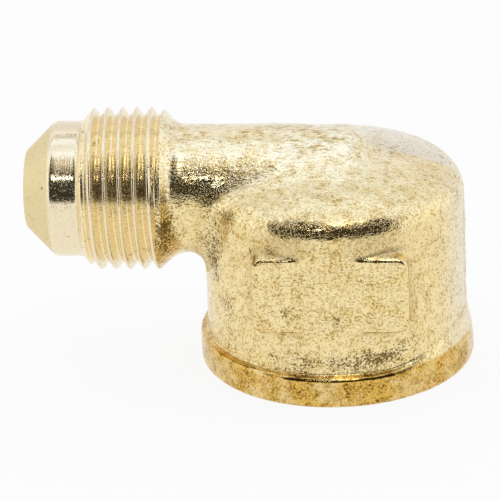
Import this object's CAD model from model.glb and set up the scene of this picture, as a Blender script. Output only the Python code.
"""Flare elbow in brass: a forged body with its port, a turned flare end, and a stage.

Sizes are worked out in metres in the frame's own axes: the port's mouth lies on
z = 0 round the Z axis, and the flare end points to -X.
"""

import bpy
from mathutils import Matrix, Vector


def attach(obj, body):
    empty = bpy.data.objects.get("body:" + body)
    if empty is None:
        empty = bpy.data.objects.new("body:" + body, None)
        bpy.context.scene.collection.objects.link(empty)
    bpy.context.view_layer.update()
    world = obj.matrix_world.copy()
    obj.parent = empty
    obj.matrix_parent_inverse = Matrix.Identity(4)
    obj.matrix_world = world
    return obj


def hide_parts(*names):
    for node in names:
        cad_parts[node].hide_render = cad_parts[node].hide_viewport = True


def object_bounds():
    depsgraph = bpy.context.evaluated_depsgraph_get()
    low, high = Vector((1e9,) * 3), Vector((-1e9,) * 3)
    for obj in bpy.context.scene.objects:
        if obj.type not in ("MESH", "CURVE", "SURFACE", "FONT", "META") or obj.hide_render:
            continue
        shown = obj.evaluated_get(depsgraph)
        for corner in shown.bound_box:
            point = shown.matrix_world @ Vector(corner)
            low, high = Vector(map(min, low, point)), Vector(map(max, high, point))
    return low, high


bl_info = {
    "name": "Flare Elbow",
    "version": (1, 0, 0),
    "blender": (4, 5, 0),
    "location": "3D View > Sidebar > Flare Elbow",
    "description": "Forged body, turned flare end and stage of a brass flare elbow",
    "category": "Add Mesh",
}

import itertools
import math

import bpy
import numpy as np
from bpy.props import FloatProperty, FloatVectorProperty, IntProperty, PointerProperty
from mathutils import Matrix, Vector

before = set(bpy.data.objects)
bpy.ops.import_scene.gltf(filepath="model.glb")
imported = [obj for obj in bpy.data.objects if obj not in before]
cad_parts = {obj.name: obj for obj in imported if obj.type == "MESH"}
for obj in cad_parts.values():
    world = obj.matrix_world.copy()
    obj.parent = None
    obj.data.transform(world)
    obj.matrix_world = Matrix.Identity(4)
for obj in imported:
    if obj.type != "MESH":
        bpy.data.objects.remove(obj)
CAD_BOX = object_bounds()
MM = 0.001
FLANK_SLOPE = 1.732  # rise of a 60 degree thread's flanks, the tangent of 60 degrees
PIPE_ROWS, FLARE_ROWS = 12, 18  # rows of points for each turn of a thread


# Settings

def linear(text):
    """The linear colour of an sRGB hex value such as e6d9a8."""
    share = [int(text[i:i + 2], 16) / 255 for i in (0, 2, 4)]
    return tuple(c / 12.92 if c <= 0.04045 else ((c + 0.055) / 1.055) ** 2.4 for c in share)


def length(name, millimetres, description):
    """A length setting, written in millimetres and held in metres."""
    return FloatProperty(name=name, description=description, default=millimetres * MM,
                         precision=5, subtype="DISTANCE", unit="LENGTH")


def angle(name, degrees, description):
    """An angle setting, written in degrees and held in radians."""
    return FloatProperty(name=name, description=description, default=math.radians(degrees),
                         subtype="ANGLE", unit="ROTATION")


def colour(name, text, description):
    """A colour setting, written as sRGB hex and held as linear."""
    return FloatVectorProperty(name=name, description=description, default=linear(text),
                               size=3, min=0.0, max=1.0, subtype="COLOR")


class BodySizes(bpy.types.PropertyGroup):
    axis_z: length("Axis height", 17.3, "Height of the flare end's axis above the mouth")
    neck_d: length("Neck diameter", 12.4, "Diameter of the neck behind the flare end")
    ridge_end: length("Ridge end", 3.2, "How far the neck's ridge runs over the crown")
    ridge_edge_r: length("Ridge edge", 1.9, "Edge radius at the end of the ridge")
    body_d: length("Body diameter", 25.3, "Diameter of the body")
    crown_rise: length("Crown rise", 4.3, "Height of the crown's centre above the axis")
    crown_r: length("Crown radius", 27.0, "Radius of the crown's dome")
    edge_r: length("Crown edge", 2.6, "Edge radius where the dome rounds into the wall")
    under_blend: length("Blend below", 2.0, "Width of the blend under the neck")
    crown_blend: length("Blend above", 1.6, "Width of the blend beside the ridge")
    fold_drop: length("Parting fold", 0.08, "How far the crown falls away from the parting line")
    fold_reach: length("Fold reach", 1.2, "Distance over which it falls")
    pad_w: length("Pad width", 14.9, "Width of each flat pad")
    pad_h: length("Pad height", 7.75, "Height of each pad")
    pad_x: length("Pad shift", 0.25, "How far the pads' centre lies past the port's axis")
    pad_z: length("Pad centre", 11.3, "Height of the pads' centre")
    pad_corner_r: length("Pad corner", 1.0, "Corner radius of a pad")
    pad_inset: length("Pad inset", 0.2, "How far a pad's face lies inside the body's diameter")
    pad_rim: length("Pad rim", 0.34, "Width of the rounding along a pad's rim")
    pad_fillet: length("Pad fillet", 0.7, "Greatest width of the fillet at a pad's foot")
    pad_foot: length("Least pad fillet", 0.15, "Width of that fillet where the pad is lowest")
    pad_join: length("Pad join", 0.12, "Width of the fillet where a pad's height fades out")
    collar_step: length("Collar step", 0.76, "How far the collar stands out from the body")
    collar_h: length("Collar height", 2.95, "Height of the collar's straight side")
    collar_rise: length("Ledge rise", 0.2, "Rise of the ledge from the collar's edge to the wall")
    heel_rise: length("Heel rise", 1.7, "What the ledge gains at the heel, away from the flare")
    collar_edge: length("Collar edge", 0.4, "Width of the rounding along the collar's top edge")
    collar_cap: length("Collar cap", 0.6, "How far the collar's form goes on above the ledge")
    collar_join: length("Collar join", 0.14, "Width of the fillet where the ledge meets the wall")
    seam_height: length("Parting line", 0.12, "Height of the parting line on the far wall")
    seam_width: length("Parting width", 0.55, "Width over which the parting line fades")
    seam_start: length("Parting start", 9.0, "Where the parting line starts to stand out")
    seam_full: length("Parting full", 12.0, "Where the parting line has its full height")
    ridge_droop: length("Ridge droop", 0.13, "How far the neck's ridge sinks towards its end")
    droop_start: length("Droop start", -11.0, "Where the neck's ridge starts to sink")
    foot_chamfer: length("Foot chamfer", 0.15, "Chamfer at the foot of the collar")
    shoulder_x: length("Shoulder foot", -15.18, "Where the shoulder's slope meets the neck")
    shoulder_slope: FloatProperty(name="Shoulder slope", default=1.15, min=0.3, max=3.0,
                                  description="Rise of the shoulder's slope, for each unit along it")
    shoulder_lean: FloatProperty(name="Shoulder lean", default=0.21, min=0.0, max=0.6,
                                 description="What the slope gains at the top and loses below")
    shoulder_shift: length("Shoulder shift", 0.1, "How far the slope's foot moves out at the top")
    shoulder_blend: length("Shoulder blend", 0.9, "Width of the fillet between shoulder and neck")
    lump_size: length("Lump size", 2.2, "Size of the forging's low lumps")
    lump_height: length("Lump height", 0.05, "Height of the low lumps")
    split_x: length("Split", -15.95, "Plane where the body's mesh takes over from the flare end's")
    hinge_x: length("Hinge X", -15.075, "Line about which the rings swing from neck to body")
    hinge_z: length("Hinge Z", 5.4, "Height of that line")
    rings: IntProperty(name="Rings", default=150, min=24,
                       description="Rings of the skin between the neck and the foot of the pads")
    columns: IntProperty(name="Columns", default=336, min=48,
                         description="Points round each ring, an even number")


class PortSizes(bpy.types.PropertyGroup):
    bore_d: length("Port bore", 18.3, "Bore of the port, at the crests of its pipe thread")
    mouth_d: length("Mouth", 21.8, "Diameter of the countersink at the mouth")
    root_d: length("Thread root", 21.22, "Root diameter of the pipe thread at the mouth")
    pitch: length("Pipe pitch", 1.814, "Pitch of the pipe thread")
    taper: FloatProperty(name="Taper", default=1 / 16, min=0.0, max=0.2,
                         description="Loss of diameter for each unit of depth")
    thread_depth: length("Thread reach", 12.9, "Depth at which the pipe thread ends")
    root_flat: length("Root flat", 0.08, "Width of the flat at the thread's root")
    root_round: length("Root rounding", 0.1, "Width of the rounding at the root")
    crest_round: length("Crest rounding", 0.08, "Width of the rounding at the crests")
    mouth_round: length("Mouth rounding", 0.06, "Width of the rounding inside the countersink")
    point_z: length("Drill point", 20.0, "Height of the drill's point inside the body")
    drill_angle: angle("Drill angle", 59.0, "Half angle of the drill's point")
    leg_d: length("Flare bore", 7.1, "Bore of the flare leg")
    hinge_gap: length("Hinge gap", 0.45, "From both bores to the line about which the inner rings swing")
    turned_depth: length("Turned depth", 1.8, "How deep the turned surface reaches past the bores")
    face_d: length("Turned face", 23.0, "Diameter up to which the mouth's face is turned")


class FlareSizes(bpy.types.PropertyGroup):
    nose_x: length("Nose", round(CAD_BOX[0][0] / MM, 3), "Tip of the nose")
    nose_d: length("Nose ring", 7.6, "Diameter of the flat ring at the tip")
    bore_chamfer: length("Bore chamfer", 0.1, "Chamfer round the bore's mouth")
    seat_angle: angle("Seat angle", 45.0, "Half angle of the conical seat")
    pilot_d: length("Pilot", 13.2, "Diameter of the smooth pilot")
    pilot_len: length("Pilot length", 2.7, "Length of the pilot behind the seat's edge")
    seat_edge: length("Seat edge", 0.35, "Radius where the seat's cone meets the pilot")
    thread_d: length("Thread", 15.875, "Major diameter of the flare thread")
    pitch: length("Pitch", 1.4111, "Pitch of the flare thread, 18 to the inch")
    depth: length("Thread height", 0.86, "Height of the thread from root to crest")
    lead: length("Lead", 1.15, "Length of the chamfer that leads into the thread")
    first_crest: length("First crest", -23.18, "Where the first crest passes over the top")
    crest_cut: length("Crest cut", 0.15, "What the crest takes off the sharp V")
    thread_round: length("Thread rounding", 0.3, "Width of the rounding of crests and roots")
    lead_round: length("Lead rounding", 0.12, "Width of the rounding where the lead cuts the thread")
    tuck: length("Tuck", 0.15, "How far the flare end's mesh reaches into the body's")
    run_out: length("Run-out", -16.68, "Where turned brass ends and the forged shoulder starts")
    run_out_lean: length("Run-out lean", 0.34, "How much further back that is at the top")
    edge_r: length("Edge break", 0.05, "Radius that breaks the other turned edges")
    columns: IntProperty(name="Columns", default=288, min=48,
                         description="Points round each ring of the flare end")


class Finish(bpy.types.PropertyGroup):
    forged: colour("Forged brass", "fff9dc", "Bright forged skin on the crown and the ridge")
    wall: colour("Forged brass, wall", "f7e3ab", "Yellower forged skin lower down")
    patch: colour("Forged brass, patches", "e6c67c", "Deeper yellow patches of the forged skin")
    crown_pale: colour("Pale crown", "f0e6cd", "Skin behind the parting line on the crown")
    collar: colour("Collar", "e6bb5c", "Orange cast of the collar")
    collar_deep: colour("Collar, deep", "9c7024", "Brown patches on the collar")
    hollow: colour("Hollows", "d6bd8c", "Duller skin in the hollows over the pads")
    sand: colour("Forged grain", "b08d42", "Deep yellow of the sandy grain and the flow lines")
    tarnish: colour("Tarnish", "5e4826", "Brown tarnish in hollows and pits")
    turned: colour("Turned brass", "f2e4c2", "Freshly turned brass")
    groove: colour("Thread grooves", "f9e7ba", "Yellower brass of the thread's grooves")
    seat: colour("Flare seat", "ecdaa8", "Matte brass of the conical seat")


class StageSizes(bpy.types.PropertyGroup):
    azimuth: angle("Azimuth", 5.2, "The camera's turn towards +X, from straight in front")
    elevation: angle("Elevation", 24.3, "The camera's height above the floor")
    roll: angle("Roll", -2.4, "The camera's roll about its own line of sight")
    distance: length("Distance", 400.0, "From the camera to the point that it aims at")
    aim_x: length("Aim X", -8.32, "Where the camera aims, along the flare end")
    aim_z: length("Aim Z", 10.6, "Height at which the camera aims")
    lens: FloatProperty(name="Lens", default=293.976, min=1.0, unit="CAMERA",
                        description="Focal length in millimetres, on a 36 mm sensor")
    floor: colour("Floor", "fafafa", "Pale floor")
    floor_size: length("Floor size", 4000.0, "Side of the floor")


# Whole-array shape functions

def ramp(value, start, end):
    """Rises smoothly from 0 at start to 1 at end: 3t^2 - 2t^3 of the share t of the way."""
    t = np.clip((value - start) / (end - start), 0.0, 1.0)
    return t * t * (3.0 - 2.0 * t)


def smooth_min(a, b, width):
    """The lesser of two distances, less h^2 width / 4 where they differ by less than
    width, h being the share of width by which they fall short of it: a round fillet."""
    h = np.maximum(width - np.abs(a - b), 0.0) / width
    return np.minimum(a, b) - h * h * width / 4.0


def smooth_max(a, b, width):
    """The greater of two distances, rounded off in the same way."""
    return -smooth_min(-a, -b, width)


def lumps(points, size, seed):
    """Noise from -1 to 1: a mixed integer for each corner of a cubic lattice of that
    size, blended between the corners by smoothstep weights."""
    place = points / size + 31.7 * seed
    cell = np.floor(place).astype(np.int64)
    near = place - cell
    near = near * near * (3.0 - 2.0 * near)
    total = np.zeros(points.shape[:-1])
    for corner in itertools.product((0, 1), repeat=3):
        c = cell + corner
        mixed = (c[..., 0] * 73856093) ^ (c[..., 1] * 19349663) ^ (c[..., 2] * 83492791)
        mixed = (mixed * 1274126177 + seed * 97) & 0x7FFFFFFF
        mixed = ((mixed ^ (mixed >> 15)) * 668265263) & 0x7FFFFFFF
        weight = np.prod(np.where(corner, near, 1.0 - near), axis=-1)
        total += weight * ((mixed >> 8) / float(1 << 22) - 1.0)
    return total


def spot(points, centre, reach):
    """A soft spot: 1 at centre, falling as exp(-d^2), d being the distance in reaches.
    Centre and reach are in millimetres."""
    away = (points / MM - np.array(centre)) / np.array(reach)
    return np.exp(-np.sum(away * away, axis=-1))


def body_distance(body, r, z):
    """How far a point at radius r and height z lies outside the body: a dome on top, an
    arc that rolls its edge into the wall, and the straight wall."""
    body_r = body.body_d / 2
    dome_z = body.axis_z + body.crown_rise - body.crown_r
    edge_x = body_r - body.edge_r
    edge_z = dome_z + math.sqrt((body.crown_r - body.edge_r) ** 2 - edge_x ** 2)
    dome = np.hypot(r, z - dome_z) - body.crown_r
    edge = np.hypot(r - edge_x, z - edge_z) - body.edge_r
    over = z > edge_z
    on_dome = over & (r * (edge_z - dome_z) < edge_x * (z - dome_z))
    return np.where(on_dome, dome, np.where(over, edge, r - body_r))


def neck_distance(body, x, r):
    """How far a point at x along the neck and radius r from its axis lies outside the
    neck: a cylinder whose end has a round edge."""
    side = r - body.neck_d / 2 + body.ridge_edge_r
    end = x - body.ridge_end + body.ridge_edge_r
    round_off = np.hypot(np.maximum(side, 0.0), np.maximum(end, 0.0))
    return np.minimum(np.maximum(side, end), 0.0) + round_off - body.ridge_edge_r


def shoulder_distance(body, x, y, up, r):
    """How far a point lies outside the shoulder: a cone down to the neck, whose slope
    and foot change with the cosine of the angle from the top."""
    top = up / np.maximum(r, MM)
    slope = body.shoulder_slope + body.shoulder_lean * top
    foot = body.shoulder_x - body.shoulder_shift * top
    line = body.neck_d / 2 + slope * (foot - x)
    return (r - line) / np.sqrt(1.0 + slope * slope)


def pad_outline(body, x, z):
    """How far a place on a flank lies outside a pad's outline: a rectangle with round
    corners in x and z."""
    dx = np.abs(x - body.pad_x) - body.pad_w / 2 + body.pad_corner_r
    dz = np.abs(z - body.pad_z) - body.pad_h / 2 + body.pad_corner_r
    return (np.hypot(np.maximum(dx, 0.0), np.maximum(dz, 0.0))
            + np.minimum(np.maximum(dx, dz), 0.0) - body.pad_corner_r)


def pad_distance(body, x, y, z, skin):
    """How far a point lies outside the pads: their outline, joined to the skin round it
    by a fillet that is 0.6 of the pad's height there, and cut off flat at a distance in
    y, with a round rim."""
    body_r = body.body_d / 2
    high = body_r - body.pad_inset - np.sqrt(np.maximum(body_r ** 2 - x * x, 0.0))
    fillet = np.clip(0.6 * high, body.pad_foot, body.pad_fillet)
    face = np.abs(y) - (body_r - body.pad_inset)
    return smooth_max(smooth_min(skin, pad_outline(body, x, z), fillet), face, body.pad_rim)


def collar_distance(body, x, y, r, z):
    """How far a point lies outside the collar: a straight side, a ledge above it that
    grows into a taper where the cosine of the angle from +X passes from 0.45 to 0.98,
    with an edge up to 2.2 times as round, and a chamfer at the foot."""
    away = ramp(x / np.maximum(r, MM), 0.45, 0.98)
    side = r - body.body_d / 2 - body.collar_step
    rise = body.collar_rise + body.heel_rise * away
    long = np.hypot(rise, body.collar_step)
    ledge = (side * rise + (z - body.collar_h) * body.collar_step) / long
    foot = (side + body.foot_chamfer - z) * math.sqrt(0.5)
    top = smooth_max(side, ledge, body.collar_edge * (1.0 + 1.2 * away))
    top = np.maximum(top, z - body.collar_h - rise - body.collar_cap)
    return smooth_max(top, foot, body.foot_chamfer)


def forging_distance(body, points):
    """How far a point lies outside the forging: the body, the neck and the shoulder
    joined by fillets, then the parting line, the pads and the collar. Before the
    parting line the crown falls by the fold's drop, as 1 - exp(-d / reach) of the
    distance d from that line, which starts softly."""
    x, y, z = points[..., 0], points[..., 1], points[..., 2]
    up = z - body.axis_z
    r = np.hypot(x, y)
    ring = np.hypot(y, up)
    sunk = np.hypot(y, up + body.ridge_droop * ramp(x, body.droop_start, body.ridge_end))
    front = (np.hypot(y, 0.1 * body.fold_reach) - y) / 2
    fold = body.fold_drop * (1.0 - np.exp(-front / body.fold_reach))
    half = body.neck_d / 2
    width = body.under_blend + (body.crown_blend - body.under_blend) * ramp(up, -half, half)
    shoulder = shoulder_distance(body, x, y, up, ring)
    neck = smooth_min(neck_distance(body, x, sunk), shoulder, body.shoulder_blend)
    skin = smooth_min(body_distance(body, r, z + fold), neck, width)
    seam = np.exp(-(y / body.seam_width) ** 2) * ramp(x, body.seam_start, body.seam_full)
    skin = skin - body.seam_height * seam
    skin = smooth_min(skin, pad_distance(body, x, y, z, skin), body.pad_join)
    return smooth_min(skin, collar_distance(body, x, y, r, z), body.collar_join)


def leave(distance, start, direction, near, far):
    """The point where each ray leaves a form: the span from near, inside it, to far,
    outside it, is halved 26 times, each time keeping the half in which the skin lies."""
    near = np.full(direction.shape[:-1], near)
    far = np.full(direction.shape[:-1], far)
    for _ in range(26):
        mid = (near + far) / 2
        outside = distance(start + direction * mid[..., None]) > 0.0
        far = np.where(outside, mid, far)
        near = np.where(outside, near, mid)
    return start + direction * near[..., None]


def outward(distance, points):
    """Unit normals: the slope of the distance, by differences over 0.02 mm each way."""
    step = 0.02 * MM
    slope = np.stack([distance(points + step * np.eye(3)[k]) - distance(points - step * np.eye(3)[k])
                      for k in range(3)], axis=-1)
    return slope / np.linalg.norm(slope, axis=-1, keepdims=True)


def bend(distance, points):
    """How sharply a form bends, for each millimetre, above 0 on edges and below 0 in
    hollows: the sum of the distances 0.25 mm away along each axis, less six times the
    distance here, over that step squared."""
    step = 0.25 * MM
    total = -6.0 * distance(points)
    for way in step * np.concatenate([np.eye(3), -np.eye(3)]):
        total = total + distance(points + way)
    return total / step ** 2 * MM


def spread(count, start, end, weight):
    """Values from start to end, count of them, packed in proportion to a weight
    function: the inverse of the weight's running sum."""
    fine = np.linspace(start, end, 4001)
    total = np.concatenate([[0.0], np.cumsum(weight((fine[1:] + fine[:-1]) / 2))])
    return np.interp(np.linspace(0.0, total[-1], count), total, fine)


def swung_rings(hinge, centre, angles, turn):
    """Starts and directions of rays for rings whose planes swing about a hinge line.
    At angle a from upright the outward axis is (sin a, 0, cos a), the ring's middle
    lies on an ellipse round the hinge, and each ray is out cos f + Y sin f."""
    a = angles[:, None]
    out = np.stack([np.sin(a), np.zeros_like(a), np.cos(a)], axis=-1)
    reach = 1.0 / np.hypot(np.cos(a) / (centre[1] - hinge[1]), np.sin(a) / (centre[0] - hinge[0]))
    middle = np.array([hinge[0], 0.0, hinge[1]]) + out * reach[..., None]
    ray = out * np.cos(turn)[None, :, None] + np.array([0.0, 1.0, 0.0]) * np.sin(turn)[None, :, None]
    return np.broadcast_to(middle, ray.shape), ray


def level_rings(heights, turn):
    """Starts and directions of rays for level rings round the Z axis."""
    ray = np.stack([np.cos(turn), np.sin(turn), np.zeros_like(turn)], axis=-1)
    ray = np.broadcast_to(ray, (len(heights),) + ray.shape)
    return np.broadcast_to(np.array([0.0, 0.0, 1.0]) * heights[:, None, None], ray.shape), ray


def upright_rings(stations, turn, axis_z):
    """Starts and directions of rays for upright rings round the flare end's axis."""
    ray = np.stack([np.zeros_like(turn), np.sin(turn), np.cos(turn)], axis=-1)
    ray = np.broadcast_to(ray, (len(stations),) + ray.shape)
    start = np.array([1.0, 0.0, 0.0]) * stations[:, None, None] + np.array([0.0, 0.0, axis_z])
    return np.broadcast_to(start, ray.shape), ray


# Meshes from blocks of rings

def chain(blocks):
    """Points and faces of a closed shell made of blocks of rings, each (rings, columns,
    3), given with its rows for each turn where they follow a helix, or None.
    Neighbouring blocks are joined, also the last to the first, and where the number of
    columns halves or doubles, each wide step meets two narrow ones."""
    points = np.concatenate([b.reshape(-1, 3) for b, _ in blocks])
    first = np.cumsum([0] + [b.shape[0] * b.shape[1] for b, _ in blocks])
    grids = [np.arange(first[i], first[i + 1]).reshape(b.shape[:2]) for i, (b, _) in enumerate(blocks)]
    faces = []
    for (_, per_turn), grid in zip(blocks, grids):
        faces.append(between(grid[:-1], grid[1:]) if per_turn is None else helix_faces(grid, per_turn))
    for i, grid in enumerate(grids):
        faces.append(between(grid[-1:], grids[(i + 1) % len(grids)][:1]))
    return points, np.concatenate(faces)


def between(a, b):
    """Faces between matching rings a and b, where one may have twice the columns of the
    other. A triangle is written with its first corner twice."""
    if a.shape[1] == b.shape[1]:
        return np.stack([a, np.roll(a, -1, 1), np.roll(b, -1, 1), b], axis=-1).reshape(-1, 4)
    if a.shape[1] > b.shape[1]:
        return between(b, a)[:, [3, 2, 1, 0]]
    even, odd = b[:, 0::2], b[:, 1::2]
    after, even_after = np.roll(a, -1, 1), np.roll(even, -1, 1)
    corner = np.stack([odd, even, a, odd], axis=-1).reshape(-1, 4)
    side = np.stack([a, after, even_after, odd], axis=-1).reshape(-1, 4)
    return np.concatenate([corner, side])


def helix_faces(grid, per_turn):
    """Faces of a block whose rows follow a helix: across the seam each row meets the
    one a whole turn on."""
    last = grid.shape[0] - 1
    row = np.arange(grid.shape[0])
    across = np.concatenate([grid, grid[np.minimum(row + per_turn, last), :1]], axis=1)
    return np.stack([across[:-1, :-1], across[:-1, 1:], across[1:, 1:], across[1:, :-1]],
                    axis=-1).reshape(-1, 4)


def helix_rows(start, end, pitch, per_turn, turn):
    """Places along the axis for rows that follow a helix of that pitch: row k lies at
    start + (k / per_turn - 1 + turn share) pitch, held between start and end."""
    rows = int(math.ceil(((end - start) / pitch + 1.0) * per_turn)) + 1
    row = np.arange(rows + 1)[:, None]
    return np.clip(start + (row / per_turn - 1.0 + turn[None, :] / (2 * np.pi)) * pitch, start, end)


def make_piece(name, blocks, materials, choose, masks):
    """A closed mesh object from blocks of rings. Points that coincide are merged and
    collapsed faces dropped. Faces are turned outwards by the sign of the volume. From
    the faces' middles choose gives their material's number, and from the points masks
    gives their attributes."""
    points, faces = chain(blocks)
    _, keep, back = np.unique(np.round(points / (1e-5 * MM)).astype(np.int64), axis=0,
                              return_index=True, return_inverse=True)
    points, faces = points[keep], back.reshape(-1)[faces]
    double = faces == np.roll(faces, -1, axis=1)
    faces = faces[double.sum(axis=1) <= 1]
    double = faces == np.roll(faces, -1, axis=1)
    turned = (np.argmax(double, axis=1)[:, None] + np.arange(1, 5)) % 4
    faces = np.where(double.any(axis=1)[:, None], np.take_along_axis(faces, turned, axis=1), faces)
    a, b, c, d = (points[faces[:, k]] for k in range(4))
    volume = (np.sum(a * np.cross(b, c)) + np.sum(a * np.cross(c, d))) / 6
    if volume < 0:
        three = faces[:, 0] == faces[:, 3]
        faces = np.where(three[:, None], faces[:, [0, 2, 1, 0]], faces[:, ::-1])
    count = np.where(faces[:, 0] == faces[:, 3], 3, 4)
    corners = faces[np.arange(4)[None, :] < count[:, None]]
    mesh = bpy.data.meshes.new(name)
    mesh.vertices.add(len(points))
    mesh.vertices.foreach_set("co", points.astype(np.float32).ravel())
    mesh.loops.add(len(corners))
    mesh.loops.foreach_set("vertex_index", corners.astype(np.int32))
    mesh.polygons.add(len(faces))
    first = np.concatenate([[0], np.cumsum(count)[:-1]])
    mesh.polygons.foreach_set("loop_start", first.astype(np.int32))
    mesh.polygons.foreach_set("use_smooth", np.ones(len(faces), bool))
    for material in materials:
        mesh.materials.append(material)
    chosen = choose(points[faces].mean(axis=1))
    mesh.polygons.foreach_set("material_index", chosen.astype(np.int32))
    for key, value in masks(points).items():
        layer = mesh.attributes.new(key, "FLOAT", "POINT")
        layer.data.foreach_set("value", value.astype(np.float32))
    mesh.update(calc_edges=True)
    if mesh.validate():
        raise RuntimeError(f"{name}: the mesh had faults that Blender mended")
    piece = bpy.data.objects.new(name, mesh)
    bpy.context.scene.collection.objects.link(piece)
    return piece


# Surfaces of the elbow

def column_turns(count):
    """Angles round a ring, from 0 at the outward side, packed 1.6 times as close on
    the two flanks that carry the pads."""
    def weight(f):
        side = np.abs(np.abs(f - np.pi) - np.pi / 2)
        return 1.0 + 0.6 * (1.0 - ramp(side, math.radians(34), math.radians(50)))
    return spread(count + 1, 0.0, 2 * np.pi, weight)[:-1]


def cavity_distance(port, body, points):
    """How far a point lies outside the drilled cavity: the port with its drill cone
    and the flare leg's bore with its own, whichever is nearer."""
    x, y, z = points[..., 0], points[..., 1], points[..., 2]
    tip = math.tan(port.drill_angle)
    r, ring = np.hypot(x, y), np.hypot(y, z - body.axis_z)
    wide = np.maximum(r - port.bore_d / 2, r - (port.point_z - z) * tip)
    narrow = np.maximum(ring - port.leg_d / 2, ring - (port.leg_d / 2 / tip - x) * tip)
    return np.minimum(wide, narrow)


def port_radius(port, z, turn):
    """Radius of the port's wall: a 60 degree pipe thread whose root narrows with depth,
    cut into the plain bore, fading out over its last turn and a half, with a 45 degree
    countersink. Crests, roots and the countersink's edge are rounded."""
    phase = z / port.pitch - turn / (2 * np.pi)
    off = np.abs(phase - np.round(phase)) * port.pitch
    root = (port.root_d - port.taper * z) / 2
    fade = 1.0 - ramp((port.thread_depth - z) / port.pitch, 1.6, 0.1)
    deep = root - smooth_max(FLANK_SLOPE * (off - port.root_flat / 2), 0.0, port.root_round)
    groove = (smooth_max(deep, port.bore_d / 2, port.crest_round) - port.bore_d / 2) * fade
    return smooth_max(port.bore_d / 2 + groove, port.mouth_d / 2 - z, port.mouth_round)


def body_blocks(body, port):
    """The forged body as one chain of rings: up the port's thread, round the drilled
    cavity into the flare leg's bore, out at the split, back along the neck, round the
    body in planes that swing from upright to level, and down over the collar."""
    turn = column_turns(body.columns)
    inner = turn[::2]
    field = lambda points: forging_distance(body, points)
    cavity = lambda points: cavity_distance(port, body, points)

    z = helix_rows(0.0, port.thread_depth, port.pitch, PIPE_ROWS, inner)
    wide = port_radius(port, z, inner[None, :])
    thread = np.stack([wide * np.cos(inner), wide * np.sin(inner), z], axis=-1)

    corner = (0.0, body.axis_z)
    hinge = (-port.bore_d / 2 - port.hinge_gap, body.axis_z - port.leg_d / 2 - port.hinge_gap)
    swing = np.linspace(np.pi / 2, 0.0, 26)
    turned = leave(cavity, *swung_rings(hinge, corner, swing, inner), near=0.2 * MM, far=14 * MM)
    back = np.linspace(hinge[0], body.split_x, 12)[1:]
    bore = leave(cavity, *upright_rings(back, inner, body.axis_z), near=0.2 * MM, far=8 * MM)

    hinge = (body.hinge_x, body.hinge_z)
    stations = np.linspace(body.split_x, hinge[0], 9)[:-1]
    neck = leave(field, *upright_rings(stations, turn, body.axis_z), near=2 * MM, far=12 * MM)
    swing = spread(body.rings, 0.0, np.pi / 2, swing_weight)
    swung = leave(field, *swung_rings(hinge, corner, swing, turn), near=2 * MM, far=27 * MM)
    wall = leave(field, *level_rings(foot_levels(), turn), near=2 * MM, far=16 * MM)
    outer = np.concatenate([neck, swung, wall])
    outer = outer + outward(field, outer) * forging_relief(body, outer)[..., None]
    outer[-1, :, 2] = 0.0
    rim = outer[-1:, ::2]
    edge = np.stack([np.cos(inner), np.sin(inner), 0 * inner], axis=-1)[None] * port.mouth_d / 2
    mouth = rim + (edge - rim) * np.array([0.06, 0.5, 0.94])[:, None, None]
    return [(thread, PIPE_ROWS), (turned, None), (bore, None), (outer, None), (mouth, None)]


def swing_weight(a):
    """How closely the swinging rings are packed at angle a: 1.55 times as close from 38
    to 85 degrees, where they cross the crown's edge and the pads."""
    a = np.degrees(a)
    return 1.0 + 0.55 * ramp(a, 32, 38) * (1.0 - ramp(a, 85, 88))


def foot_levels():
    """Heights of the level rings: 0.13 mm apart down to the ledge, 0.038 over it, wider
    down the collar's side, and close over the chamfer at its foot."""
    return MM * np.concatenate([np.arange(5.25, 3.55, -0.13), np.arange(3.5, 2.55, -0.038),
                                np.linspace(2.45, 0.4, 8), [0.28, 0.2, 0.1, 0.0]])


def forging_relief(body, points):
    """Low lumps of the forged skin: noise at the lump size and at half and a quarter of
    it, each lower than the last, flattened near the foot and lower on the neck."""
    rough = (lumps(points, body.lump_size, 1) + 0.6 * lumps(points, body.lump_size / 2, 2)
             + 0.35 * lumps(points, body.lump_size / 4, 3))
    flat = ramp(points[..., 2], 0.0, 0.4 * MM) * ramp(points[..., 0], body.split_x, body.split_x + MM)
    flat = flat * (1.0 - 0.6 * ramp(-points[..., 0], 4 * MM, 9 * MM))
    return body.lump_height * rough * flat


# Spots of brown tarnish, each with its centre, its reach and its strength, in
# millimetres: on both flanks, and on the near side alone
FLANK_SPOTS = (((-15.9, -7.2, 15.4), (1.2, 3.5, 3.4), 0.95),
               ((-9.9, -8.0, 7.5), (1.1, 3.5, 4.0), 0.3),
               ((-11.2, -6.5, 12.6), (0.9, 3.0, 3.0), 0.5),
               ((1.0, -12.6, 4.4), (7.5, 4.0, 1.0), 0.45),
               ((5.4, -11.4, 5.0), (2.7, 3.0, 1.2), 0.4),
               ((4.6, 0.0, 22.0), (1.0, 0.8, 0.8), 0.7))
NEAR_SPOTS = (((-2.0, -12.5, 4.4), (6.5, 3.0, 1.4), 0.16),
              ((-4.2, -12.5, 9.5), (1.3, 2.0, 0.9), 0.42),
              ((-6.75, -12.0, 14.7), (0.4, 1.2, 0.35), 0.9),
              ((-7.3, -11.2, 15.3), (0.25, 1.5, 0.5), 0.6),
              ((7.05, -12.3, 14.3), (0.35, 1.0, 0.45), 0.7),
              ((0.9, -12.6, 9.0), (0.4, 2.0, 0.4), 0.5),
              ((-3.3, -12.6, 11.6), (0.7, 2.0, 0.25), 0.5))


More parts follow.
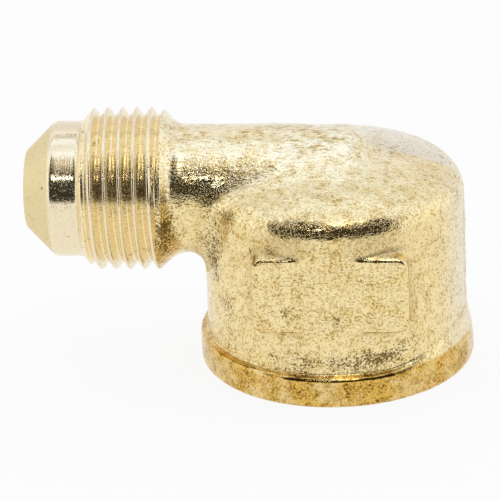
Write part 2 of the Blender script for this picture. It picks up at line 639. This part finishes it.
def forged_masks(body, points):
    """Where the forged skin differs, from 0 to 1, each a product of ramps whose ends are
    in millimetres: tarnish in the fillets and in soft spots, collar on the collar, pale
    behind the parting line and on the far wall, low where it is yellower, on the wall
    and the neck, dull in the hollows that tumbling misses, hollow over the pads' upper
    corners, and keen on the edges that tumbling polishes, and part way on the neck."""
    x, y, z = points.T / MM
    up = z - body.axis_z / MM
    out = pad_outline(body, points[:, 0], points[:, 2]) / MM

    gap = np.abs(body_distance(body, np.hypot(points[:, 0], points[:, 1]), points[:, 2])
                 - neck_distance(body, points[:, 0], np.hypot(y, up) * MM))
    fillet = ramp(1.1 * body.under_blend - gap, 0.0, body.under_blend) * (1.0 - ramp(up, -1, 4))
    tarnish = 0.3 * fillet
    mirrored = np.stack([x, -np.abs(y), z], axis=-1) * MM
    for where, spots in ((mirrored, FLANK_SPOTS), (points, NEAR_SPOTS)):
        tarnish += sum(strength * spot(where, centre, reach) for centre, reach, strength in spots)

    ledge = body.collar_h / MM
    collar = 1.0 - ramp(z, ledge - 0.1, ledge + 0.35)
    behind = ramp(y, -0.1, 0.5) * ramp(up, 0, 2.5) * ramp(x, -1, 6)
    pale = np.maximum(behind, 0.6 * ramp(x, 9.5, 12.6) * (1.0 - collar))
    low = np.maximum(1.0 - ramp(up, 0, 7), 0.4 * ramp(-x, 1, 8))
    turn = bend(lambda place: forging_distance(body, place), points)
    dull = ramp(-turn, 0.02, 0.3) * ramp(x, -15, -13) * ramp(z, ledge, ledge + 2) * ramp(out, -0.3, 0.2)
    keen = np.maximum(ramp(turn, 0.25, 0.85), 0.3 * ramp(-x, 3, 8) * ramp(z, 11, 14))
    corner = np.stack([np.abs(points[:, 0] - body.pad_x), 0 * x,
                       points[:, 2] - body.pad_z - body.pad_h / 2], axis=-1)
    hollow = spot(corner, (4.4, 0.0, 1.3), (2.6, 9.0, 1.3)) * ramp(out, 0, 0.3)
    return {"tarnish": np.clip(tarnish, 0.0, 1.0), "collar": collar, "pale": pale, "low": low,
            "dull": dull, "hollow": hollow, "keen": keen}


def pilot_span(flare):
    """Where the pilot starts, at the seat's edge, and where it ends."""
    start = flare.nose_x + (flare.pilot_d - flare.nose_d) / 2 / math.tan(flare.seat_angle)
    return start, start + flare.pilot_len


def thread_radius(flare, x, turn):
    """Radius of the flare thread: a 60 degree V of the given height with round crests
    and roots, led in by a chamfer. Its fifth groove is the last, and fades over half a
    turn."""
    phase = (x - flare.first_crest) / flare.pitch - turn / (2 * np.pi)
    off = np.abs(phase - np.round(phase)) * flare.pitch
    groove = np.floor(phase) + turn / (2 * np.pi)
    fade = 1.0 - ramp(groove, 4.05, 4.6)
    cut = smooth_max(FLANK_SLOPE * off - flare.crest_cut, 0.0, flare.thread_round)
    cut = smooth_min(cut, flare.depth, flare.thread_round) * fade
    rise = (flare.thread_d - flare.pilot_d) / 2 / flare.lead
    lead = flare.pilot_d / 2 + (x - pilot_span(flare)[1]) * rise
    return smooth_min(flare.thread_d / 2 - cut, lead, flare.lead_round)


def round_profile(corners, step):
    """A line through corners (x, r, rounding), each inner corner rounded by the curve
    at + rounding (a (1 - t)^2 + b t^2), a and b being the ways to its neighbours, and
    its straights cut into equal steps."""
    places, rounding = np.array(corners)[:, :2], np.array(corners)[:, 2]
    line = [places[:1]]
    for before, at, after, size in zip(places[:-2], places[1:-1], places[2:], rounding[1:-1]):
        a, b = before - at, after - at
        a, b = a / np.linalg.norm(a), b / np.linalg.norm(b)
        t = np.linspace(0.0, 1.0, 6)[:, None]
        line.append(at + size * (a * (1 - t) ** 2 + b * t ** 2))
    line.append(places[-1:])
    line = np.concatenate(line)
    parts = []
    for start, way in zip(line[:-1], line[1:] - line[:-1]):
        count = max(int(np.linalg.norm(way) / step), 1)
        parts.append(start + way * np.linspace(0, 1, count, endpoint=False)[:, None])
    return np.concatenate(parts + [line[-1:]])


def around(x, r, turn, axis_z):
    """Points at x and radius r round the flare end's axis, the angle running from the
    top towards the front."""
    return np.stack([x + 0 * turn, -r * np.sin(turn), axis_z + r * np.cos(turn)], axis=-1)


def flare_blocks(flare, body, port):
    """The flare end as one chain of rings: out along the bore, over the nose, the seat
    and the pilot, along the thread in rows that follow its helix, over the shoulder,
    and back through the joint with the body. The thread is cut into the shoulder with
    an edge that is 0.12 mm wide below and 0.4 on top, and the last ring is tucked
    inside the body's skin, at 0.988 of its radius."""
    turn = np.linspace(0.0, 2 * np.pi, flare.columns, endpoint=False)
    seat_end, pilot_end = pilot_span(flare)
    bore_r, pilot_r, tip = port.leg_d / 2, flare.pilot_d / 2, flare.nose_x
    nose = round_profile([(body.split_x + flare.tuck, bore_r + flare.edge_r, 0.0),
                          (body.split_x - 0.2 * MM, bore_r, flare.edge_r),
                          (tip + flare.bore_chamfer, bore_r, flare.edge_r / 2),
                          (tip, bore_r + flare.bore_chamfer, flare.edge_r / 2),
                          (tip, flare.nose_d / 2, flare.edge_r),
                          (seat_end, pilot_r, flare.seat_edge), (pilot_end, pilot_r, 0.0)],
                         step=0.3 * MM)
    front = around(nose[:-1, :1], nose[:-1, 1:], turn, body.axis_z)

    x = helix_rows(pilot_end, body.split_x, flare.pitch, FLARE_ROWS, turn)
    start = np.stack([x, 0 * x, 0 * x + body.axis_z], axis=-1)
    ray = np.broadcast_to(around(0.0, 1.0, turn, 0.0), start.shape)
    field = lambda points: forging_distance(body, points)
    blank = leave(field, start, ray, near=3 * MM, far=14 * MM)
    blank_r = np.hypot(blank[..., 1], blank[..., 2] - body.axis_z)
    sharp = (0.12 + 0.14 * (1 + np.cos(turn))) * MM
    r = smooth_min(thread_radius(flare, x, turn), blank_r, sharp)
    thread = around(x, r, turn, body.axis_z)
    tucked = around(x[-1:] + flare.tuck, 0.988 * r[-1:], turn, body.axis_z)
    return [(front, None), (thread, FLARE_ROWS), (tucked, None)]


def flare_masks(flare, body, points):
    """The forged masks, how deep each point of the flare end lies in a thread groove,
    and where it is the matte cone."""
    r = np.hypot(points[:, 1], points[:, 2] - body.axis_z)
    seat_end, pilot_end = pilot_span(flare)
    past = ramp(points[:, 0], pilot_end, pilot_end + 0.3 * MM)
    masks = forged_masks(body, points)
    masks["groove"] = ramp(flare.thread_d / 2 - r, 0.1 * MM, flare.depth) * past
    masks["matte"] = 1.0 - ramp(points[:, 0], seat_end - 0.3 * MM, seat_end)
    return masks


# Materials

def add(tree, kind, sockets=(), out=0, **settings):
    """Adds a shader node, makes its settings, sets or links its input sockets, and
    gives its output of that number or name. A colour is given without its alpha."""
    node = tree.nodes.new("ShaderNode" + kind)
    for key, value in settings.items():
        setattr(node, key, value)
    for key, value in dict(sockets).items():
        socket = node.inputs[key]
        if isinstance(value, bpy.types.NodeSocket):
            tree.links.new(value, socket)
        else:
            socket.default_value = (*value, 1.0) if socket.type == "RGBA" else value
    return node.outputs[out] if node.outputs else None


def new_material(name):
    """An empty node material, its tree and the Object coordinates."""
    material = bpy.data.materials.new(name)
    material.use_nodes = True
    material.node_tree.nodes.clear()
    return material, material.node_tree, add(material.node_tree, "TexCoord", out="Object")


def forged_brass(look):
    """Hot-forged brass, tumbled: the dies leave a fine sandy grain, low flow lines and
    scattered pits, so the skin mirrors the room in a grainy way. Brown tarnish stays
    in the hollows and pits, and the collar keeps an orange cast with brown patches."""
    material, tree, place = new_material("forged_tumbled_brass")
    flow = add(tree, "Mapping", {"Vector": place, "Scale": (0.3, 1.0, 1.0)})
    slant = add(tree, "Mapping", {"Vector": place, "Rotation": (0.3, 0.7, 0.2), "Scale": (0.2, 1.0, 1.0)})
    # Each pattern's width in mm and its octaves. Flow lines and streaks are about three
    # times as long as they are wide, and hairline scratches follow the slanted pattern
    noise = {}
    for name, size, octaves, way in (
            ("grain", 0.25, 2.0, place), ("fleck", 0.22, 3.0, place), ("lines", 0.45, 3.0, flow),
            ("streak", 0.22, 2.0, flow), ("blotch", 1.2, 5.0, place), ("cloud", 2.4, 3.0, place),
            ("hair", 1.1, 1.0, slant)):
        noise[name] = add(tree, "TexNoise", {"Vector": way, "Scale": 1 / (size * MM), "Detail": octaves,
                                             "Roughness": 0.6})
    tarnish, collar, pale, low, dull, hollow, keen = (
        add(tree, "Attribute", out="Fac", attribute_name=name)
        for name in ("tarnish", "collar", "pale", "low", "dull", "hollow", "keen"))

    # Brown flecks: a fleck shows where the sum of these passes a level
    level = noise["fleck"]
    for value, share in ((noise["cloud"], 0.4), (tarnish, 0.3), (collar, 0.03), (low, 0.015)):
        level = add(tree, "Math", {0: value, 1: share, 2: level}, operation="MULTIPLY_ADD")
    mottled = add(tree, "Math", {0: noise["blotch"], 1: 0.35, 2: noise["fleck"]}, operation="MULTIPLY_ADD")
    fine = add(tree, "Mix", {"Factor": low, "A": noise["streak"], "B": noise["grain"]})
    # For each pattern the values between which it comes in, and those that it gives: a
    # share of the skin, and for worn the height in mm of grains with their tops worn flat
    deep, mottle, cast, pits, sand, worn = (
        add(tree, "MapRange", {"Value": value, "From Min": start, "From Max": full, "To Min": least,
                               "To Max": most}, interpolation_type="SMOOTHSTEP")
        for value, start, full, least, most in (
            (noise["blotch"], 0.4, 0.66, 0.0, 0.5), (mottled, 0.62, 0.8, 0.0, 0.9),
            (noise["cloud"], 0.35, 0.6, 0.5, 1.0), (level, 0.86, 0.94, 0.0, 0.85),
            (fine, 0.51, 0.37, 0.0, 0.75), (noise["grain"], 0.38, 0.54, 0.0, 0.016)))

    # Scratches are a thin line of the slanted pattern, broken up by the blotches
    hair = add(tree, "Math", {0: noise["hair"], 1: 0.5, 2: 0.004}, operation="COMPARE")
    torn = add(tree, "Math", {0: noise["blotch"], 1: 0.6}, operation="GREATER_THAN")
    scratch = add(tree, "Math", {0: hair, 1: torn}, operation="MULTIPLY")
    brown = add(tree, "Math", {0: scratch, 1: 0.5, 2: pits}, operation="MULTIPLY_ADD", use_clamp=True)
    dense = add(tree, "Math", {0: deep, 1: 1.3, 2: 0.55}, operation="MULTIPLY_ADD")
    sand = add(tree, "Math", {0: sand, 1: dense}, operation="MULTIPLY", use_clamp=True)
    cast = add(tree, "Math", {0: cast, 1: collar}, operation="MULTIPLY")
    soft = add(tree, "Math", {0: hollow, 1: 0.75}, operation="MULTIPLY")
    band = add(tree, "Mix", {"Factor": mottle, "A": look.collar, "B": look.collar_deep}, 2, data_type="RGBA")
    skin = look.forged
    for share, tone in ((low, look.wall), (deep, look.patch), (pale, look.crown_pale), (cast, band),
                        (soft, look.hollow), (sand, look.sand), (brown, look.tarnish)):
        skin = add(tree, "Mix", {"Factor": share, "A": skin, "B": tone}, 2, data_type="RGBA")

    # Heights in mm: flow lines are ripples 0.05 deep and flecks are pits of 0.008, both
    # lower in the hollows and on the edges
    height = worn
    for value, high in ((noise["lines"], 0.05), (brown, -0.008)):
        height = add(tree, "Math", {0: value, 1: high, 2: height}, operation="MULTIPLY_ADD")
    calm = add(tree, "Math", {0: dull, 1: 0.6}, operation="MULTIPLY")
    calm = add(tree, "Math", {0: calm, 1: keen}, operation="MAXIMUM")
    strong = add(tree, "MapRange", {"Value": calm, "To Min": 1.0, "To Max": 0.2})
    bump = add(tree, "Bump", {"Height": height, "Strength": strong, "Distance": MM})
    rough = add(tree, "MapRange", {"Value": dull, "To Min": 0.08, "To Max": 0.5})
    rough = add(tree, "Math", {0: brown, 1: 0.25, 2: rough}, operation="MULTIPLY_ADD")
    shader = add(tree, "BsdfPrincipled", {"Base Color": skin, "Metallic": 1.0, "Roughness": rough,
                                          "Normal": bump})
    add(tree, "OutputMaterial", {"Surface": shader})
    return material


def turned_brass(look):
    """Brass turned on a lathe: near mirror-bright, with faint rings left by the tool
    round the axis, small brown stains and nicks, deeper yellow in the thread's grooves,
    and a matte seat."""
    material, tree, place = new_material("turned_brass")
    rounds = add(tree, "Mapping", {"Vector": place, "Scale": (1.0, 0.03, 0.03)})
    # Each pattern's width in mm and its octaves. The tool's rings are drawn as noise
    # along the axis, 0.12 wide, because finer ones wouldn't show
    noise = {}
    for name, size, octaves, way in (("rings", 0.12, 2.0, rounds), ("grain", 0.2, 2.0, place),
                                     ("stain", 0.7, 5.0, place)):
        noise[name] = add(tree, "TexNoise", {"Vector": way, "Scale": 1 / (size * MM), "Detail": octaves,
                                             "Roughness": 0.6})
    groove, matte = (add(tree, "Attribute", out="Fac", attribute_name=name) for name in ("groove", "matte"))

    level = noise["stain"]
    for value, share in ((noise["grain"], 0.4), (groove, 0.05)):
        level = add(tree, "Math", {0: value, 1: share, 2: level}, operation="MULTIPLY_ADD")
    brown, rough = (
        add(tree, "MapRange", {"Value": value, "From Min": start, "From Max": full, "To Min": least,
                               "To Max": most}, interpolation_type="SMOOTHSTEP")
        for value, start, full, least, most in (
            (level, 0.87, 0.95, 0.0, 0.8), (noise["grain"], 0.5, 0.66, 0.12, 0.42)))
    skin = look.turned
    for share, tone in ((groove, look.groove), (matte, look.seat), (brown, look.tarnish)):
        skin = add(tree, "Mix", {"Factor": share, "A": skin, "B": tone}, 2, data_type="RGBA")
    for value, more in ((groove, 0.08), (matte, 0.3)):
        rough = add(tree, "Math", {0: value, 1: more, 2: rough}, operation="MULTIPLY_ADD")

    # Heights in mm: rings 0.009 and grain 0.006 high
    height = add(tree, "Math", {0: noise["rings"], 1: 1.5, 2: noise["grain"]}, operation="MULTIPLY_ADD")
    bump = add(tree, "Bump", {"Height": height, "Strength": 1.0, "Distance": 0.006 * MM})
    shader = add(tree, "BsdfPrincipled", {"Base Color": skin, "Metallic": 1.0, "Roughness": rough,
                                          "Normal": bump})
    add(tree, "OutputMaterial", {"Surface": shader})
    return material


# Operators

class FLAREELBOW_OT_forged_body(bpy.types.Operator):
    """Builds the forged body with its neck, pads, collar and threaded port"""
    bl_idname = "flare_elbow.forged_body"
    bl_label = "Forged body"

    def execute(self, context):
        scene = context.scene
        body, port = scene.elbow_body, scene.elbow_port
        forged = forged_brass(scene.elbow_finish)
        turned = turned_brass(scene.elbow_finish)

        def choose(middle):
            inside = cavity_distance(port, body, middle) < port.turned_depth
            return inside & (np.hypot(middle[:, 0], middle[:, 1]) < port.face_d / 2)
        piece = make_piece("forged_body", body_blocks(body, port), [forged, turned], choose,
                           lambda points: forged_masks(body, points))
        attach(piece, "root")
        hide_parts("forged_elbow")
        return {"FINISHED"}


class FLAREELBOW_OT_flare_end(bpy.types.Operator):
    """Builds the turned flare end: nose, seat, pilot, thread and shoulder"""
    bl_idname = "flare_elbow.flare_end"
    bl_label = "Flare end"

    def execute(self, context):
        scene = context.scene
        body, port, flare = scene.elbow_body, scene.elbow_port, scene.elbow_flare
        turned = turned_brass(scene.elbow_finish)
        forged = forged_brass(scene.elbow_finish)

        def choose(middle):
            up = middle[:, 2] - body.axis_z
            top = up / np.hypot(middle[:, 1], up)
            return middle[:, 0] > flare.run_out + flare.run_out_lean * top
        piece = make_piece("flare_end", flare_blocks(flare, body, port), [turned, forged], choose,
                           lambda points: flare_masks(flare, body, points))
        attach(piece, "root")
        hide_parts("forged_elbow")
        return {"FINISHED"}


class FLAREELBOW_OT_stage(bpy.types.Operator):
    """Sets the floor, the studio's light and the camera"""
    bl_idname = "flare_elbow.stage"
    bl_label = "Stage"

    def execute(self, context):
        scene = context.scene
        stage = scene.elbow_stage
        half = stage.floor_size / 2
        mesh = bpy.data.meshes.new("floor")
        mesh.from_pydata([(-half, -half, 0), (half, -half, 0), (half, half, 0), (-half, half, 0)],
                         [], [(0, 1, 2, 3)])
        mesh.materials.append(floor_paint(stage))
        floor = bpy.data.objects.new("floor", mesh)
        scene.collection.objects.link(floor)
        studio_light(scene)
        place_camera(scene, stage)
        scene.view_settings.view_transform = "Standard"
        return {"FINISHED"}


def floor_paint(stage):
    """A white table: it keeps the object's shadow, and nine tenths of it glow for rays
    from the camera or from a mirror, so that it reads as white."""
    material, tree, _ = new_material("white_table")
    path = add(tree, "LightPath").node.outputs
    seen = add(tree, "Math", {0: path["Is Camera Ray"], 1: path["Is Glossy Ray"]}, operation="ADD")
    seen = add(tree, "Math", {0: seen, 1: path["Is Transmission Ray"]}, operation="ADD", use_clamp=True)
    paint = add(tree, "BsdfDiffuse", {"Color": stage.floor})
    glow = add(tree, "Emission", {"Color": (1, 1, 1), "Strength": 1.0})
    part = add(tree, "Math", {0: seen, 1: 0.9}, operation="MULTIPLY")
    mixed = add(tree, "MixShader", {0: part, 1: paint, 2: glow})
    add(tree, "OutputMaterial", {"Surface": mixed})
    return material


# The studio, by angle over the object from the front horizon (0) to the rear one (180)
# degrees: a dark room in front, the dim edge of a softbox, the softbox overhead, its
# seam, and the pale wall behind. Colours at STUDIO_PEAK strength. A place to the side
# is a slope, 1 being 45 degrees to the right of the camera.
STUDIO_PEAK = 1.6
STUDIO = ((0, "2e2a24"), (36, "302c26"), (46, "453f37"), (53, "686156"), (61, "989286"),
          (64, "b3ada0"), (75, "b7b1a2"), (78, "dce5f8"), (84, "e1e9ff"), (90, "d8dce9"),
          (97, "caccd4"), (103, "cdd1dc"), (108, "d8e1f0"), (116, "dae2f8"), (120, "b3b1ac"),
          (125, "aeaaa2"), (130, "cfd4d8"), (135, "d4dae5"), (141, "c9c6ca"), (160, "c2c1c6"),
          (180, "c6c9cf"))
FLANK = "d8dade"  # pale walls on both sides of the room
FLANK_EDGE = (1.0, 1.45)  # slopes between which they come in
# Two dark boards left and right of the white card, from BOARD_INNER outwards, up to
# BOARD_TOP degrees and to a slanted edge, where their slope aside and BOARD_SLANT times
# the share of the half turn over the object come to BOARD_OUTER
BOARD = "2a2620"
BOARD_MIDDLE = 0.08
BOARD_INNER = (0.27, 0.36)
BOARD_SLANT = 1.85
BOARD_OUTER = (1.5, 1.25)
BOARD_TOP = (86, 80)
# A narrow strip lamp over the camera and a white card in front of the softbox: angle
# and half height in degrees, slope aside, half width and strength
STRIP_LAMP = (41.5, 1.1, -0.25, 0.1, 11.0)
WHITE_CARD = (63.0, 12.0, 0.06, 0.13, 2.2)


def studio_light(scene):
    """A white tent round the object, open to a dark room in front, with a softbox over
    it: the world's light as a function of direction. The camera itself sees white."""
    world = bpy.data.worlds.new("studio")
    world.use_nodes = True
    scene.world = world
    tree = world.node_tree
    tree.nodes.clear()
    azimuth = scene.elbow_stage.azimuth
    way = add(tree, "TexCoord", out="Generated")
    front, side, up = (add(tree, "VectorMath", {0: way, 1: axis}, "Value", operation="DOT_PRODUCT")
                       for axis in ((math.sin(azimuth), -math.cos(azimuth), 0),
                                    (math.cos(azimuth), math.sin(azimuth), 0), (0, 0, 1)))
    over = add(tree, "Math", {0: up, 1: front}, operation="ARCTAN2")
    over = add(tree, "Math", {0: over}, operation="ABSOLUTE")
    over = add(tree, "Math", {0: over, 1: math.pi}, operation="DIVIDE")
    band = add(tree, "ValToRGB", {"Fac": over})
    stops = band.node.color_ramp.elements
    for degrees, _ in STUDIO[1:-1]:
        stops.new(degrees / 180)
    for stop, (degrees, text) in zip(stops, STUDIO):
        stop.position = degrees / 180
        stop.color = (*linear(text), 1)

    # How far a direction turns aside from the upright plane through the camera
    upright = add(tree, "Math", {0: up, 1: up}, operation="MULTIPLY")
    off = add(tree, "Math", {0: front, 1: front, 2: upright}, operation="MULTIPLY_ADD")
    off = add(tree, "Math", {0: off}, operation="SQRT")
    sideways = add(tree, "Math", {0: side, 1: off}, operation="DIVIDE")
    aside = add(tree, "Math", {0: sideways}, operation="ABSOLUTE")
    flank = add(tree, "MapRange", {"Value": aside, "From Min": FLANK_EDGE[0], "From Max": FLANK_EDGE[1]},
                interpolation_type="SMOOTHSTEP")

    past = add(tree, "Math", {0: sideways, 1: BOARD_MIDDLE}, operation="SUBTRACT")
    past = add(tree, "Math", {0: past}, operation="ABSOLUTE")
    slant = add(tree, "Math", {0: over, 1: BOARD_SLANT, 2: past}, operation="MULTIPLY_ADD")
    board = 1.0
    for value, (none, full) in ((past, BOARD_INNER), (slant, BOARD_OUTER),
                                (over, (BOARD_TOP[0] / 180, BOARD_TOP[1] / 180))):
        inside = add(tree, "MapRange", {"Value": value, "From Min": none, "From Max": full})
        board = add(tree, "Math", {0: board, 1: inside}, operation="MULTIPLY")
    for share, tone in ((board, BOARD), (flank, FLANK)):
        band = add(tree, "Mix", {"Factor": share, "A": band, "B": linear(tone)}, 2, data_type="RGBA")

    lit = add(tree, "Background", {"Color": band, "Strength": STUDIO_PEAK})
    for degrees, half, slope, reach, strength in (STRIP_LAMP, WHITE_CARD):
        high = add(tree, "Math", {0: over, 1: degrees / 180, 2: half / 180}, operation="COMPARE")
        wide = add(tree, "Math", {0: sideways, 1: slope, 2: reach}, operation="COMPARE")
        shape = add(tree, "Math", {0: high, 1: wide}, operation="MULTIPLY")
        shape = add(tree, "Math", {0: shape, 1: strength}, operation="MULTIPLY")
        lamp = add(tree, "Background", {"Color": (1, 1, 1), "Strength": shape})
        lit = add(tree, "AddShader", {0: lit, 1: lamp})
    white = add(tree, "Background", {"Color": (1, 1, 1), "Strength": 1.0})
    path = add(tree, "LightPath", out="Is Camera Ray")
    add(tree, "OutputWorld", {"Surface": add(tree, "MixShader", {0: path, 1: lit, 2: white})})


def place_camera(scene, stage):
    """Aims the camera: back = (sin a cos e, -cos a cos e, sin e), right is level, and
    both right and up are then rolled about back."""
    a, e = stage.azimuth, stage.elevation
    back = Vector((math.sin(a) * math.cos(e), -math.cos(a) * math.cos(e), math.sin(e)))
    right = Vector((math.cos(a), math.sin(a), 0))
    turn = Matrix.Rotation(stage.roll, 3, back)
    right = turn @ right
    up = back.cross(right)
    data = bpy.data.cameras.new("camera")
    data.sensor_width = 36
    data.lens = stage.lens
    data.clip_start = 10 * MM
    camera = bpy.data.objects.new("camera", data)
    scene.collection.objects.link(camera)
    turned = Matrix((right, up, back)).transposed().to_4x4()
    turned.translation = Vector((stage.aim_x, 0, stage.aim_z)) + back * stage.distance
    camera.matrix_world = turned
    scene.camera = camera


class FLAREELBOW_PT_panel(bpy.types.Panel):
    """Lists the elbow's settings and the steps that build it"""
    bl_label = "Flare Elbow"
    bl_idname = "FLAREELBOW_PT_panel"
    bl_space_type = "VIEW_3D"
    bl_region_type = "UI"
    bl_category = "Flare Elbow"

    def draw(self, context):
        for step in STEPS:
            self.layout.operator(step.bl_idname)
        for name in GROUPS:
            box = self.layout.box()
            group = getattr(context.scene, name)
            # The first two properties are Blender's own
            for key in group.bl_rna.properties.keys()[2:]:
                box.prop(group, key)


GROUPS = {"elbow_body": BodySizes, "elbow_port": PortSizes, "elbow_flare": FlareSizes,
          "elbow_finish": Finish, "elbow_stage": StageSizes}
STEPS = (FLAREELBOW_OT_forged_body, FLAREELBOW_OT_flare_end, FLAREELBOW_OT_stage)


def register():
    for kind in (*GROUPS.values(), *STEPS, FLAREELBOW_PT_panel):
        bpy.utils.register_class(kind)
    for name, kind in GROUPS.items():
        setattr(bpy.types.Scene, name, PointerProperty(type=kind))


def unregister():
    for name in GROUPS:
        delattr(bpy.types.Scene, name)
    for kind in (*GROUPS.values(), *STEPS, FLAREELBOW_PT_panel):
        bpy.utils.unregister_class(kind)


def main():
    register()
    bpy.ops.flare_elbow.stage()
    bpy.ops.flare_elbow.forged_body()
    bpy.ops.flare_elbow.flare_end()


if __name__ == "__main__":
    main()
